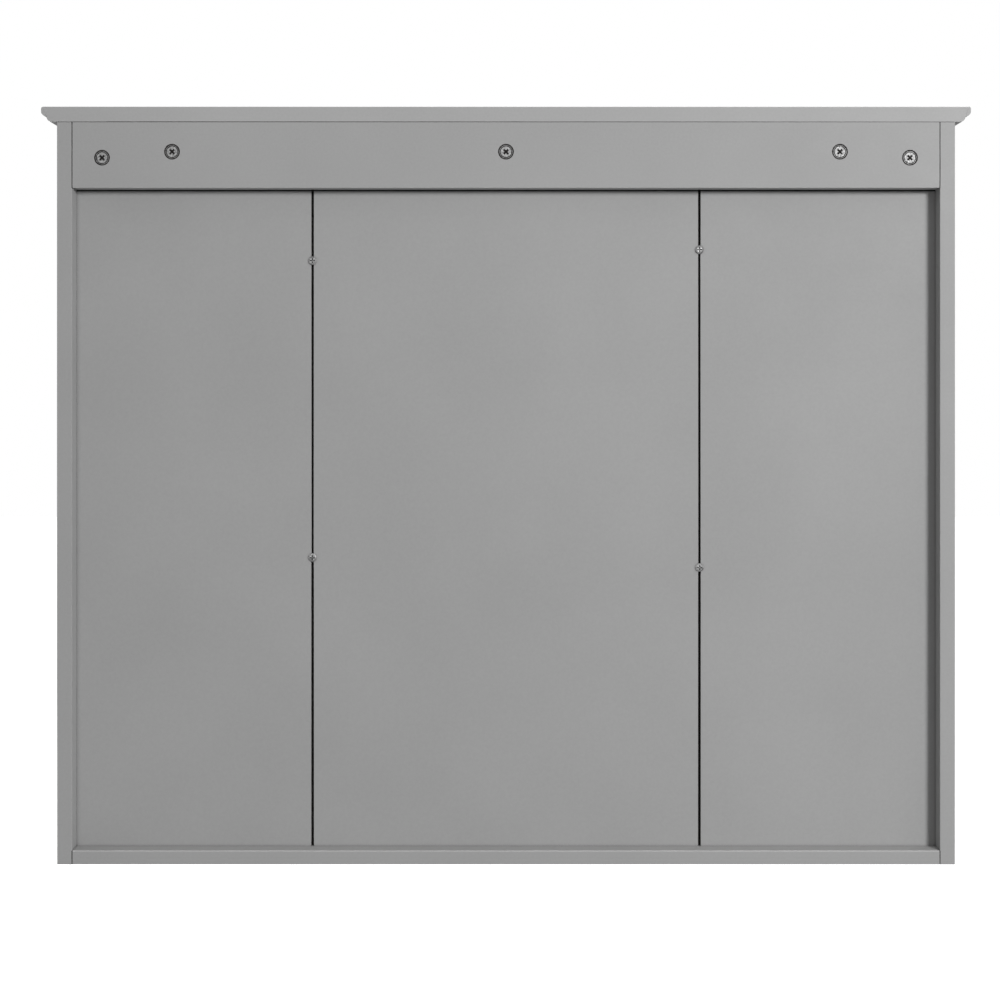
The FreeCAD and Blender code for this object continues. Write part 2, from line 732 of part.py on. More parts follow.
def crown_board():
    half = "(body_width / 2 + crown_overhang)"
    right = crown_edge(half, lambda x: x, lambda z: z, 1)
    left = crown_edge(half, lambda x: f"-({x})", lambda z: z, 1)
    left_down = [(*left[i][:2], *left[i - 1][2:]) for i in range(len(left) - 1, -1, -1)]
    left_down[-1] = left_down[-1][:2]
    body = prism("crown_board_blank", "XZ", right + left_down, CROWN_REACH)
    front = new_sketch(body, "YZ")
    edge = crown_edge(CROWN_REACH, lambda y: f"-({y})", lambda z: z, -1)
    outline(front, edge + [
        (f"-({CROWN_REACH} - crown_arris)", "crown_thick + cutter_margin"),
        (f"-({CROWN_REACH} + cutter_margin)", "crown_thick + cutter_margin"),
        (f"-({CROWN_REACH} + cutter_margin)", "-cutter_margin"),
        (f"-({CROWN_REACH} - 2 * crown_round - crown_step_in)", "-cutter_margin")])
    pocket(body, front)
    groove = new_sketch(body, "XY")
    end = f"({HALF_INSIDE} + groove_depth)"
    outline(groove, [(f"-{end}", GROOVE_FAR), (end, GROOVE_FAR), (end, GROOVE_NEAR),
                     (f"-{end}", GROOVE_NEAR)])
    pocket(body, groove, "groove_depth", reversed_way=True)
    return put(body, (0, 0, CEILING))


def side_panel(label, side):
    """A side board, grooved for the back panels along its whole height."""
    outer, deep = f"{side} * board", f"{side} * groove_depth"
    body = prism(label, "XY", [
        (0, 0), (outer, 0), (outer, "-carcass_depth"), (0, "-carcass_depth"),
        (0, GROOVE_FAR), (deep, GROOVE_FAR), (deep, GROOVE_NEAR), (0, GROOVE_NEAR)],
        "total_height - crown_thick")
    return put(body, (f"{side} * {HALF_INSIDE}", 0, UNDERSIDE))


def bottom_board():
    sunk = "bottom_thick - groove_depth"
    body = prism("bottom_board_blank", "YZ", [
        (0, 0), (0, "bottom_thick"), (GROOVE_NEAR, "bottom_thick"), (GROOVE_NEAR, sunk),
        (GROOVE_FAR, sunk), (GROOVE_FAR, "bottom_thick"), ("-carcass_depth", "bottom_thick"),
        ("-carcass_depth", 0)],
        f"2 * {HALF_INSIDE}", both_ways=True)
    return put(body, (0, 0, UNDERSIDE))


def partition(label, side):
    return box(label, ("board", "carcass_depth - back_recess - back_thick", CLEAR_HEIGHT),
               (f"{side} * partition_offset - board / 2", "-carcass_depth", FLOOR))


def back_panel(label, low, high):
    extra = "groove_depth - groove_slack"
    return box(label, (f"{high} - ({low})", "back_thick", f"{CLEAR_HEIGHT} + 2 * ({extra})"),
               (low, "-back_recess - back_thick", f"{FLOOR} - ({extra})"))


crown_bolts = rail_to_crown + side_to_crown[-1] + side_to_crown[1]
crown_bolts += partition_to_crown[-1] + partition_to_crown[1]
node(cut("crown_board", crown_board(), (bolt_hole, crown_bolts)))

rail_cams = rail_to_side + rail_to_crown
rail = box("hanging_rail_blank", (f"2 * {HALF_INSIDE}", "board", "rail_height"),
           (f"-{HALF_INSIDE}", "-board", "-rail_height / 2"))
node(cut("hanging_rail", rail, (cam_well, rail_cams), (bolt_way, rail_cams)))
bottom_cams = bottom_to_side[-1] + bottom_to_side[1]
node(cut("bottom_board", bottom_board(), (cam_well, bottom_cams), (bolt_way, bottom_cams),
         (partition_screw, partition_screw_places[-1] + partition_screw_places[1])))

for name, side, outer_wall, inner_wall, rail_end in (
        ("left", -1, "low", "high", rail_to_side[1]),
        ("right", 1, "high", "low", rail_to_side[0])):
    node(cut(f"{name}_side_panel", side_panel(f"{name}_side_panel_blank", side),
             (cam_well, side_to_crown[side]),
             (bolt_way, side_to_crown[side]),
             (bolt_hole, [rail_end] + bottom_to_side[side]),
             (pin_drill, pin_holes[name][outer_wall]),
             (small_screw_path, board_plate_holes[name])))
    cutters = [
        (cam_well, partition_to_crown[side]),
        (bolt_way, partition_to_crown[side]),
        (back_screw_path, back_screw_places[side]),
        (partition_screw, partition_screw_places[side]),
        (pin_drill, pin_holes[name][inner_wall] + pin_holes["centre"][outer_wall])]
    if side < 0:
        cutters.append((small_screw_path, board_plate_holes["centre"]))
    node(cut(f"{name}_partition", partition(f"{name}_partition_blank", side), *cutters))

SEAM = "(partition_offset + back_seam / 2)"
OUTER_EDGE = f"({HALF_INSIDE} + groove_depth - groove_slack)"
for name, low, high, screws in (
        ("left", f"-{OUTER_EDGE}", f"-{SEAM}", back_screw_places[-1]),
        ("centre", "-partition_offset + back_seam / 2", "partition_offset - back_seam / 2",
         back_screw_places[-1] + back_screw_places[1]),
        ("right", SEAM, OUTER_EDGE, back_screw_places[1])):
    node(cut(f"{name}_back_panel", back_panel(f"{name}_back_panel_blank", low, high),
             (back_screw_path, screws)))

# ---------------------------------------------------------------- doors


def frame_section():
    """A door frame member's section: outer edge at 0, rear face at 0, front face at -door_thick."""
    return [
        (0, "-door_thick"),
        ("frame_wide - frame_chamfer", "-door_thick"),
        ("frame_wide", "-door_thick + frame_chamfer"),
        ("frame_wide", "-rebate_deep"),
        ("frame_wide - rebate_wide", "-rebate_deep"),
        ("frame_wide - rebate_wide", 0),
        (0, 0)]


BEFORE, PAST_FRAME = "(-cutter_margin)", "(frame_wide + cutter_margin)"


def stile(label, high):
    body = prism(label, "XY", frame_section(), high)
    mitres = new_sketch(body, "XZ")
    outline(mitres, [(BEFORE, BEFORE), (PAST_FRAME, BEFORE), (PAST_FRAME, PAST_FRAME)])
    outline(mitres, [(BEFORE, f"{high} - {BEFORE}"), (PAST_FRAME, f"{high} - {PAST_FRAME}"),
                     (PAST_FRAME, f"{high} - {BEFORE}")])
    pocket(body, mitres)
    return body


def door_rail(label, wide):
    body = prism(label, "YZ", [(y, x) for x, y in frame_section()], wide)
    mitres = new_sketch(body, "XZ")
    outline(mitres, [(BEFORE, BEFORE), (PAST_FRAME, PAST_FRAME), (BEFORE, PAST_FRAME)])
    outline(mitres, [(f"{wide} - {BEFORE}", BEFORE), (f"{wide} - {BEFORE}", PAST_FRAME),
                     (f"{wide} - {PAST_FRAME}", PAST_FRAME)])
    pocket(body, mitres)
    return body


def knob():
    body = turned("knob_master", [
        (0, 0), ("knob_foot_radius", 0), ("knob_foot_radius", "knob_foot_high"),
        ("knob_neck_radius", "knob_neck_low"), ("knob_neck_radius", "knob_neck_high"),
        ("knob_radius", "knob_widest", "knob_edge"),
        ("knob_crown", "knob_long - knob_dome", "(knob_crown ^ 2 + knob_dome ^ 2) / (2 * knob_dome)"),
        (0, "knob_long")])
    hole = new_sketch(body, "XY")
    circles(hole, "knob_screw_radius", [(0, 0)])
    pocket(body, hole, "knob_screw_in + cutter_margin", reversed_way=True)
    return body


knob_shape = knob()
knob_screw = pan_screw("knob_screw_master", "knob_screw_head_radius", "knob_screw_head_high",
                       "knob_screw_radius", "door_thick + knob_screw_in")
knob_screw_path = rod("knob_screw_path", "knob_screw_radius", "door_thick + 2 * cutter_margin",
                      (0, 0, "-door_thick - cutter_margin"))

bumper_places = []
for name, (low, wide, side, face) in DOORS.items():
    high = f"({low} + {wide})"
    hinge_edge, free_edge = (low, high) if side < 0 else (high, low)
    hinges = [((hinge_edge, DOOR_BACK, height), mirrored(side)) for height in HINGE_HEIGHTS]
    cup_screws = [((f"{hinge_edge} - {side} * ({x})", f"{DOOR_BACK} + flange_thick",
                    f"{height} + {z}"), (RIGHT, REAR))
                  for height in HINGE_HEIGHTS for x, z in cup_screw_centres()]
    knob_place = (f"{free_edge} + {side} * knob_inset", DOOR_BACK, f"{DOOR_LOW} + knob_up")
    screw_place = [(knob_place, (RIGHT, REAR))]
    knob_front = (knob_place[0], f"{DOOR_BACK} - door_thick", knob_place[2])

    left_member = put(stile(f"{name}_door_left_stile_blank", DOOR_HIGH), (low, DOOR_BACK, DOOR_LOW))
    right_member = put(stile(f"{name}_door_right_stile_blank", DOOR_HIGH),
                       (high, DOOR_BACK, f"{DOOR_LOW} + {DOOR_HIGH}"), OPENS_RIGHT)
    hinge_member, free_member = ((left_member, right_member) if side < 0
                                 else (right_member, left_member))
    node(cut(f"{name}_door_hinge_stile", hinge_member, (cup_well, hinges),
             (small_screw_path, cup_screws)))
    node(cut(f"{name}_door_knob_stile", free_member, (knob_screw_path, screw_place)))
    node(put(door_rail(f"{name}_door_bottom_rail", wide), (low, DOOR_BACK, DOOR_LOW)))
    node(put(door_rail(f"{name}_door_top_rail", wide),
             (high, DOOR_BACK, f"{DOOR_LOW} + {DOOR_HIGH}"), OPENS_RIGHT))

    inset = "(frame_wide - rebate_wide + glass_slack)"
    for piece, thick, deep in (("mirror", "glass_thick", "rebate_deep"),
                               ("backing_board", "backing_thick", "(rebate_deep - glass_thick)")):
        node(box(f"{name}_{piece}", (f"{wide} - 2 * {inset}", thick, f"{DOOR_HIGH} - 2 * {inset}"),
                 (f"{low} + {inset}", f"{DOOR_BACK} - {deep}", f"{DOOR_LOW} + {inset}")))

    node(copies(f"{name}_hinge_cups", cup, hinges))
    node(copies(f"{name}_hinge_pins", pin, hinges))
    node(copies(f"{name}_cup_screws", small_screw, cup_screws))
    node(copies(f"{name}_knob", knob_shape, [(knob_front, (RIGHT, FRONT))]))
    node(copies(f"{name}_knob_screw", knob_screw, screw_place))
    for height in (f"{DOOR_LOW} + bumper_inset", f"{DOOR_LOW} + {DOOR_HIGH} - bumper_inset"):
        bumper_places.append(((f"{free_edge} + {side} * {HALF_OVERLAP} / 2", "-carcass_depth", height),
                              (RIGHT, FRONT)))

bumper = turned("bumper_master", [
    (0, 0), ("bumper_radius", 0), ("bumper_radius", "bumper_shoulder"),
    ("bumper_tip_radius", "bumper_thick"), (0, "bumper_thick")])
node(copies("door_bumpers", bumper, bumper_places))

# ---------------------------------------------------------------- checks and export

doc.recompute()
for obj in doc.Objects:
    if {"Invalid", "Error"} & set(obj.State):
        raise RuntimeError(f"{obj.Label} failed: {obj.State}")
for piece in nodes:
    if piece.Shape.isNull() or not piece.Shape.isValid() or not piece.Shape.Solids:
        raise RuntimeError(f"{piece.Label} has no valid solid")
if len({piece.Label for piece in nodes}) != len(nodes):
    raise RuntimeError("two nodes share a name")

os.makedirs("parts", exist_ok=True)
for piece in nodes:
    piece.Shape.exportStep(f"parts/{piece.Label}.step")
print(f"{len(nodes)} nodes written")
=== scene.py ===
import json
import math
import bmesh
import bpy
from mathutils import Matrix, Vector


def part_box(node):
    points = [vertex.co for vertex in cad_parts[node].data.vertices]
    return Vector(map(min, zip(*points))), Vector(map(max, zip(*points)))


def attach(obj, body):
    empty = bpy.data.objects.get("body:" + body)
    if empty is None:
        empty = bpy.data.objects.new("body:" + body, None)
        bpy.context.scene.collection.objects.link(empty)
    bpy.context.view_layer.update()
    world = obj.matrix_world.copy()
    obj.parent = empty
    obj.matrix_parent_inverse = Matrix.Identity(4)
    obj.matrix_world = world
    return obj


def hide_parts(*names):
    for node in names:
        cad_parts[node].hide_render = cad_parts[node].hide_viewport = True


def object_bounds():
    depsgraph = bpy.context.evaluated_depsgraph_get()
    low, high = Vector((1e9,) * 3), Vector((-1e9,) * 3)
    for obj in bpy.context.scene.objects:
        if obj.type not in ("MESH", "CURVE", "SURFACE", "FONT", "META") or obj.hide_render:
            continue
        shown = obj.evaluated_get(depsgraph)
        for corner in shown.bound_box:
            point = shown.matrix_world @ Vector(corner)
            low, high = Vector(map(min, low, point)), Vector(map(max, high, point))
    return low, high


# The looks of a wall-hung, three-door mirror cabinet, in metres. +Z is up, the doors face -Y, and
# the wall is the plane y = 0, against which the hanging rail lies.

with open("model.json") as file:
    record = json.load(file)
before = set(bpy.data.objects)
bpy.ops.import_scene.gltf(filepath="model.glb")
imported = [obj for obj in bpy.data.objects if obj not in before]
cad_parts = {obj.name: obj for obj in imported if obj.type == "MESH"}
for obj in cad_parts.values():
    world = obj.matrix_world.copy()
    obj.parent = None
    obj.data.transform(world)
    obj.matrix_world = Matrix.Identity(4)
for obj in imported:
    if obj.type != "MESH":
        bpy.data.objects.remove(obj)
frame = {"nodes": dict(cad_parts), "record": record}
cad_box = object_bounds()
nodes = frame["nodes"]

MM = 0.001
DOORS = ("left", "centre", "right")

# What the camera sees: the wall plane, one metre wide, from behind the cabinet.
VIEW_WIDTH = 1.0
VIEW_CENTRE = Vector((0.0060, 0.0, -0.3453))
CAMERA_REACH = 1.66
CAMERA_SHIFT = (-0.0057, -0.10)
SENSOR = 36.0

FLOOR_DROP = 0.5
FLOOR_HALF = 12.0


# ---------------------------------------------------------------- shader building


def feed(tree, socket, value):
    """Gives a socket a value, or a link from another node's socket."""
    if isinstance(value, bpy.types.NodeSocket):
        tree.links.new(value, socket)
    else:
        socket.default_value = value


def place(tree, kind, inputs=None, **settings):
    """Adds a node with its settings and its inputs."""
    made = tree.nodes.new(kind)
    for name, value in settings.items():
        setattr(made, name, value)
    for name, value in (inputs or {}).items():
        feed(tree, made.inputs[name], value)
    return made


def new_group(name, inputs, outputs):
    """An empty shader group: its tree, its input sockets and its output node."""
    tree = bpy.data.node_groups.new(name, "ShaderNodeTree")
    for label, kind, default in inputs:
        socket = tree.interface.new_socket(label, in_out="INPUT", socket_type=f"NodeSocket{kind}")
        socket.default_value = default
    for label, kind in outputs:
        tree.interface.new_socket(label, in_out="OUTPUT", socket_type=f"NodeSocket{kind}")
    return tree, tree.nodes.new("NodeGroupInput").outputs, tree.nodes.new("NodeGroupOutput")


def use_group(tree, group, inputs=None):
    return place(tree, "ShaderNodeGroup", inputs, node_tree=group).outputs


def maths(tree, operation, a, b=0.0, clamp=False):
    made = place(tree, "ShaderNodeMath", operation=operation, use_clamp=clamp)
    for socket, value in zip(made.inputs, (a, b)):
        feed(tree, socket, value)
    return made.outputs[0]


def scaled(tree, vector, tone):
    return place(tree, "ShaderNodeVectorMath", {0: vector, "Scale": tone},
                 operation="SCALE").outputs[0]


def blend_colours(tree, amount, a, b):
    return place(tree, "ShaderNodeMixRGB", {"Fac": amount, "Color1": a, "Color2": b}).outputs[0]


def stretch(tree, value, from_low, from_high, to_low, to_high):
    return place(tree, "ShaderNodeMapRange", {
        "Value": value, "From Min": from_low, "From Max": from_high,
        "To Min": to_low, "To Max": to_high}).outputs[0]


def grain_noise(tree, scale, detail=3.0, squeeze=(1, 1, 1), roughness=0.5):
    where = place(tree, "ShaderNodeTexCoord").outputs["Object"]
    mapped = place(tree, "ShaderNodeMapping", {"Vector": where, "Scale": squeeze}).outputs[0]
    return place(tree, "ShaderNodeTexNoise", {
        "Vector": mapped, "Scale": scale, "Detail": detail, "Roughness": roughness}).outputs[0]


def grey(value, warm=0.0):
    return (value + warm, value, value - warm, 1.0)


# ---------------------------------------------------------------- shared effects


def edge_wear_and_shade_group():
    """1 on sharp edges and corners, falling to 0 a little way in."""
    tree, given, out = new_group(
        "edge wear and shade", [("Reach", "Float", 0.001), ("Patchiness", "Float", 0.5)],
        [("Mask", "Float")])
    rounded = place(tree, "ShaderNodeBevel", {"Radius": given["Reach"]}, samples=4).outputs[0]
    facing = place(tree, "ShaderNodeNewGeometry").outputs["True Normal"]
    match = place(tree, "ShaderNodeVectorMath", {0: rounded, 1: facing}, operation="DOT_PRODUCT")
    turned = stretch(tree, match.outputs["Value"], 0.995, 0.80, 0.0, 1.0)
    patches = grain_noise(tree, 60.0, 4.0)
    worn = stretch(tree, patches, 0.35, 0.65, 0.0, 1.0)
    kept = maths(tree, "SUBTRACT", 1.0, maths(tree, "MULTIPLY", given["Patchiness"], worn))
    tree.links.new(maths(tree, "MULTIPLY", turned, kept, clamp=True), out.inputs["Mask"])
    return tree


def settled_dust_group():
    """Thin dust on faces that look up, thicker in patches."""
    tree, given, out = new_group("settled dust", [("Amount", "Float", 0.2)], [("Mask", "Float")])
    normal = place(tree, "ShaderNodeNewGeometry").outputs["Normal"]
    upward = place(tree, "ShaderNodeSeparateXYZ", {"Vector": normal}).outputs["Z"]
    lying = stretch(tree, upward, 0.6, 1.0, 0.0, 1.0)
    patches = stretch(tree, grain_noise(tree, 18.0, 5.0), 0.35, 0.7, 0.75, 1.0)
    amount = maths(tree, "MULTIPLY", maths(tree, "MULTIPLY", lying, patches), given["Amount"])
    tree.links.new(amount, out.inputs["Mask"])
    return tree


def corner_shade_group():
    """Darkening inside narrow recesses, such as a screw's cross or a seam."""
    tree, given, out = new_group(
        "corner shade", [("Reach", "Float", 0.002), ("Depth", "Float", 1.0)],
        [("Mask", "Float")])
    open_sky = place(tree, "ShaderNodeAmbientOcclusion", {"Distance": given["Reach"]},
                     samples=4).outputs["AO"]
    closed = stretch(tree, open_sky, 0.45, 0.85, 1.0, 0.0)
    tree.links.new(maths(tree, "MULTIPLY", closed, given["Depth"], clamp=True), out.inputs["Mask"])
    return tree


EDGE_WEAR_AND_SHADE = edge_wear_and_shade_group()
SETTLED_DUST = settled_dust_group()
CORNER_SHADE = corner_shade_group()


# ---------------------------------------------------------------- materials


def new_material(name, fixed):
    """A material, its tree and its shader, with the values that are the same all over it."""
    material = bpy.data.materials.new(name)
    material.use_nodes = True
    tree = material.node_tree
    shader = tree.nodes["Principled BSDF"]
    for socket, value in fixed.items():
        shader.inputs[socket].default_value = value
    material.diffuse_color = tuple(fixed.get("Base Color", (0.5, 0.5, 0.5, 1.0)))
    return material, tree, shader


def roughen(tree, shader, height, distance, strength):
    bump = place(tree, "ShaderNodeBump", {
        "Height": height, "Distance": distance, "Strength": strength})
    tree.links.new(bump.outputs[0], shader.inputs["Normal"])


def satin_paint(name, shade, bare_shaded_rear=None):
    """Sprayed satin paint on fibreboard: cloudy tone, fine orange peel, and painted shade that
    darkens it in corners and narrow recesses.
    Where a rear depth is given, board behind that depth has no paint and is coloured near black, a
    painted shade for the seams it shows through."""
    material, tree, shader = new_material(name, {"IOR": 1.46, "Specular IOR Level": 0.22})
    clouds = stretch(tree, grain_noise(tree, 5.5, 3.0), 0.3, 0.7, 0.965, 1.03)
    specks = stretch(tree, grain_noise(tree, 420.0, 2.0), 0.3, 0.7, 0.978, 1.02)
    tone = maths(tree, "MULTIPLY", clouds, specks)
    coat = scaled(tree, shade[:3], tone)
    dust = use_group(tree, SETTLED_DUST, {"Amount": 0.16})["Mask"]
    coat = blend_colours(tree, dust, coat, grey(0.55, 0.012))
    # Painted shade: the paint darkens inside corners and narrow recesses.
    corner_shading = use_group(tree, CORNER_SHADE, {"Reach": 0.003, "Depth": 0.4})["Mask"]
    coat = blend_colours(tree, corner_shading, coat, grey(0.02, 0.002))
    # Painted shade: board behind the rear depth is coloured near black, for the seams it shows
    # through.
    if bare_shaded_rear is not None:
        where = place(tree, "ShaderNodeTexCoord").outputs["Object"]
        depth = place(tree, "ShaderNodeSeparateXYZ", {"Vector": where}).outputs["Y"]
        bare_shaded_edge = maths(tree, "GREATER_THAN", depth, bare_shaded_rear)
        coat = blend_colours(tree, bare_shaded_edge, coat, (0.006, 0.005, 0.004, 1.0))
    tree.links.new(coat, shader.inputs["Base Color"])
    gloss = stretch(tree, grain_noise(tree, 34.0, 4.0), 0.3, 0.7, 0.50, 0.60)
    gloss = maths(tree, "ADD", gloss, maths(tree, "MULTIPLY", dust, 2.5), clamp=True)
    if bare_shaded_rear is not None:
        gloss = maths(tree, "MAXIMUM", gloss, bare_shaded_edge)
    tree.links.new(gloss, shader.inputs["Roughness"])
    peel = maths(tree, "ADD", grain_noise(tree, 950.0, 2.0),
                 maths(tree, "MULTIPLY", grain_noise(tree, 210.0, 2.0), 0.8))
    roughen(tree, shader, peel, 0.00022, 0.16)
    return material


def plated_metal(name, colour, low, high, grain, shade_reach=0.0016, rim=(0.0004, 0.5, 0.9)):
    """Metal with a drawn or cast grain, painted shade in its recesses, and edges rubbed bright or
    darkened as painted shade.
    The rim is how far in the edge reaches, how strong it is and how light."""
    material, tree, shader = new_material(name, {"Metallic": 1.0})
    tone = stretch(tree, grain_noise(tree, 620.0, 4.0), 0.36, 0.64, 0.60, 1.40)
    skin = scaled(tree, colour[:3], tone)
    # Edges tinted by the rim: rubbed bright, or darkened as painted shade on the zinc and screw
    # steel.
    edge_wear_and_shade = use_group(tree, EDGE_WEAR_AND_SHADE, {"Reach": rim[0], "Patchiness": 0.3})["Mask"]
    skin = blend_colours(tree, maths(tree, "MULTIPLY", edge_wear_and_shade, rim[1]), skin, grey(rim[2]))
    # Painted shade: the metal darkens nearly black inside its recesses.
    closed = use_group(tree, CORNER_SHADE, {"Reach": shade_reach, "Depth": 0.93})["Mask"]
    skin = blend_colours(tree, closed, skin, grey(0.008))
    tree.links.new(skin, shader.inputs["Base Color"])
    gloss = stretch(tree, grain_noise(tree, 520.0, 3.0, grain), 0.3, 0.7, low, high)
    tree.links.new(gloss, shader.inputs["Roughness"])
    roughen(tree, shader, grain_noise(tree, 1400.0, 2.0, grain), 0.00012, 0.25)
    return material


def silvered_glass():
    """The face of a mirror: silver under clear glass, with faint wiping marks."""
    material, tree, shader = new_material("silvered glass", {
        "Metallic": 1.0, "Base Color": (0.90, 0.925, 0.92, 1.0)})
    wiped = stretch(tree, grain_noise(tree, 9.0, 5.0, (1, 1, 0.25), 0.6), 0.45, 0.8, 0.012, 0.05)
    tree.links.new(wiped, shader.inputs["Roughness"])
    return material


def glass_edge():
    """The ground edge of the mirror's glass, green through its thickness."""
    material, tree, shader = new_material("ground glass edge", {"IOR": 1.52})
    tone = stretch(tree, grain_noise(tree, 500.0, 3.0), 0.3, 0.7, 0.8, 1.15)
    skin = scaled(tree, (0.16, 0.30, 0.25), tone)
    tree.links.new(skin, shader.inputs["Base Color"])
    frosted = stretch(tree, grain_noise(tree, 800.0, 2.0), 0.3, 0.7, 0.25, 0.4)
    tree.links.new(frosted, shader.inputs["Roughness"])
    return material


def pressed_fibre():
    """Brown hardboard: matted fibres, darker flecks and a slight sheen."""
    material, tree, shader = new_material("pressed fibre", {"Specular IOR Level": 0.3})
    mat = stretch(tree, grain_noise(tree, 130.0, 6.0, (1, 1, 0.35), 0.65), 0.3, 0.7, 0.0, 1.0)
    skin = blend_colours(tree, mat, (0.105, 0.060, 0.032, 1.0), (0.20, 0.125, 0.070, 1.0))
    flecks = stretch(tree, grain_noise(tree, 640.0, 2.0), 0.62, 0.72, 0.0, 0.6)
    skin = blend_colours(tree, flecks, skin, (0.045, 0.025, 0.014, 1.0))
    tree.links.new(skin, shader.inputs["Base Color"])
    tree.links.new(stretch(tree, mat, 0.0, 1.0, 0.5, 0.68), shader.inputs["Roughness"])
    roughen(tree, shader, grain_noise(tree, 700.0, 4.0), 0.0002, 0.35)
    return material


def gap_shade_material():
    """Painted shade for the depth of a closed joint, or any narrow gap or recess: near black and
    matte.
    """
    material, tree, shader = new_material("painted shade of narrow gaps", {"Specular IOR Level": 0.0})
    tone = stretch(tree, grain_noise(tree, 90.0, 3.0), 0.3, 0.7, 0.0, 1.0)
    skin = blend_colours(tree, tone, grey(0.012), grey(0.04, 0.003))
    tree.links.new(skin, shader.inputs["Base Color"])
    tree.links.new(stretch(tree, tone, 0.0, 1.0, 0.85, 1.0), shader.inputs["Roughness"])
    return material


def soft_bumper():
    """Milky soft plastic, slightly yellow where it is thick."""
    material, tree, shader = new_material("soft bumper", {"IOR": 1.45, "Transmission Weight": 0.35})
    tone = stretch(tree, grain_noise(tree, 400.0, 2.0), 0.3, 0.7, 0.0, 1.0)
    skin = blend_colours(tree, tone, (0.74, 0.74, 0.70, 1.0), (0.82, 0.82, 0.79, 1.0))
    tree.links.new(skin, shader.inputs["Base Color"])
    tree.links.new(stretch(tree, tone, 0.0, 1.0, 0.28, 0.4), shader.inputs["Roughness"])
    return material


PAINT_SHADE = grey(0.36)
PAINT = satin_paint("satin grey paint", PAINT_SHADE)
CROWN_PAINT = satin_paint("satin grey paint on the crown", grey(0.395))
# Painted highlight: a lighter paint for rounded arrises.
ARRIS_HIGHLIGHT_PAINT = satin_paint("paint lightened as a painted highlight on arrises", grey(0.56))
PARTITION_PAINT = satin_paint("satin grey paint, bare rear edge in painted shade", PAINT_SHADE, bare_shaded_rear=-0.0213)
ROUND = (1, 1, 1)
FINISHES = {
    "painted": PAINT,
    "backing": pressed_fibre(),
    "mirror": silvered_glass(),
    # The zinc and screw steel rims darken the edges nearly black: painted shade round the lock
    # discs and screw heads.
    "zinc": plated_metal("cast zinc", grey(0.26), 0.48, 0.66, ROUND, 0.0030,
                         (0.0005, 0.8, 0.012)),
    "steel": plated_metal("plain plated steel", grey(0.50), 0.26, 0.40, (1, 1, 0.1)),
    "screw_steel": plated_metal("bright plated steel", grey(0.38), 0.40, 0.55, ROUND, 0.0022,
                                (0.0005, 0.7, 0.02)),
    "nickel": plated_metal("nickel plate", grey(0.63, 0.012), 0.14, 0.26, ROUND),
    "knob": plated_metal("satin nickel", grey(0.58, 0.012), 0.24, 0.36, ROUND),
    "clear_rubber": soft_bumper(),
}
GLASS_EDGE = glass_edge()
GAP_SHADE = gap_shade_material()

SLOT_OF = {part["node"]: part["material_slot"] for part in frame["record"]["subparts"]}


def dress(obj, *materials):
    obj.data.materials.clear()
    for material in materials:
        obj.data.materials.append(material)


OWN_FINISH = {
    "crown_board": CROWN_PAINT,
    "left_partition": PARTITION_PAINT, "right_partition": PARTITION_PAINT}
for name, node in nodes.items():
    finish = OWN_FINISH.get(name, FINISHES[SLOT_OF[name]])
    for slot in node.material_slots:
        slot.material = finish
    if not node.material_slots:
        node.data.materials.append(finish)


# ---------------------------------------------------------------- softened edges of the boards


LONGEST_LEFT_SHARP = 0.010
SHARP_ANGLE = math.radians(40)


def geometry_group(name):
    """A geometry group for a modifier: its tree and the mesh that comes in."""
    tree = bpy.data.node_groups.new(name, "GeometryNodeTree")
    tree.interface.new_socket("Geometry", in_out="INPUT", socket_type="NodeSocketGeometry")
    tree.interface.new_socket("Geometry", in_out="OUTPUT", socket_type="NodeSocketGeometry")
    return tree, tree.nodes.new("NodeGroupInput").outputs[0]


def close_group(tree, last):
    tree.links.new(last.outputs[0], tree.nodes.new("NodeGroupOutput").inputs[0])
    return tree


def long_arrises():
    """Marks a board's long sharp edges for rounding, and leaves the rims of its holes sharp."""
    tree, whole = geometry_group("long arrises")
    welded = place(tree, "GeometryNodeMergeByDistance", {"Geometry": whole, "Distance": 0.00001})
    angle = place(tree, "GeometryNodeInputMeshEdgeAngle").outputs["Unsigned Angle"]
    ends = place(tree, "GeometryNodeInputMeshEdgeVertices").outputs
    run = place(tree, "ShaderNodeVectorMath", {0: ends["Position 1"], 1: ends["Position 2"]},
                operation="DISTANCE").outputs["Value"]
    sharp = maths(tree, "GREATER_THAN", angle, SHARP_ANGLE)
    lengthy = maths(tree, "GREATER_THAN", run, LONGEST_LEFT_SHARP)
    marked = place(tree, "GeometryNodeStoreNamedAttribute", {
        "Geometry": welded.outputs[0], "Name": "bevel_weight_edge",
        "Value": maths(tree, "MULTIPLY", sharp, lengthy)}, data_type="FLOAT", domain="EDGE")
    return close_group(tree, marked)


LONG_ARRISES = long_arrises()


def soften(node, radius, arris=ARRIS_HIGHLIGHT_PAINT):
    """Rounds a board's long edges the way sanding and paint do."""
    marks = node.modifiers.new("long arrises", "NODES")
    marks.node_group = LONG_ARRISES
    bevel = node.modifiers.new("arris", "BEVEL")
    bevel.width = radius
    bevel.segments = 3
    bevel.limit_method = "WEIGHT"
    bevel.material = 1
    bevel.use_clamp_overlap = False
    flat = node.modifiers.new("true faces", "WEIGHTED_NORMAL")
    flat.keep_sharp = True
    flat.weight = 100
    node.data.materials.append(arris)


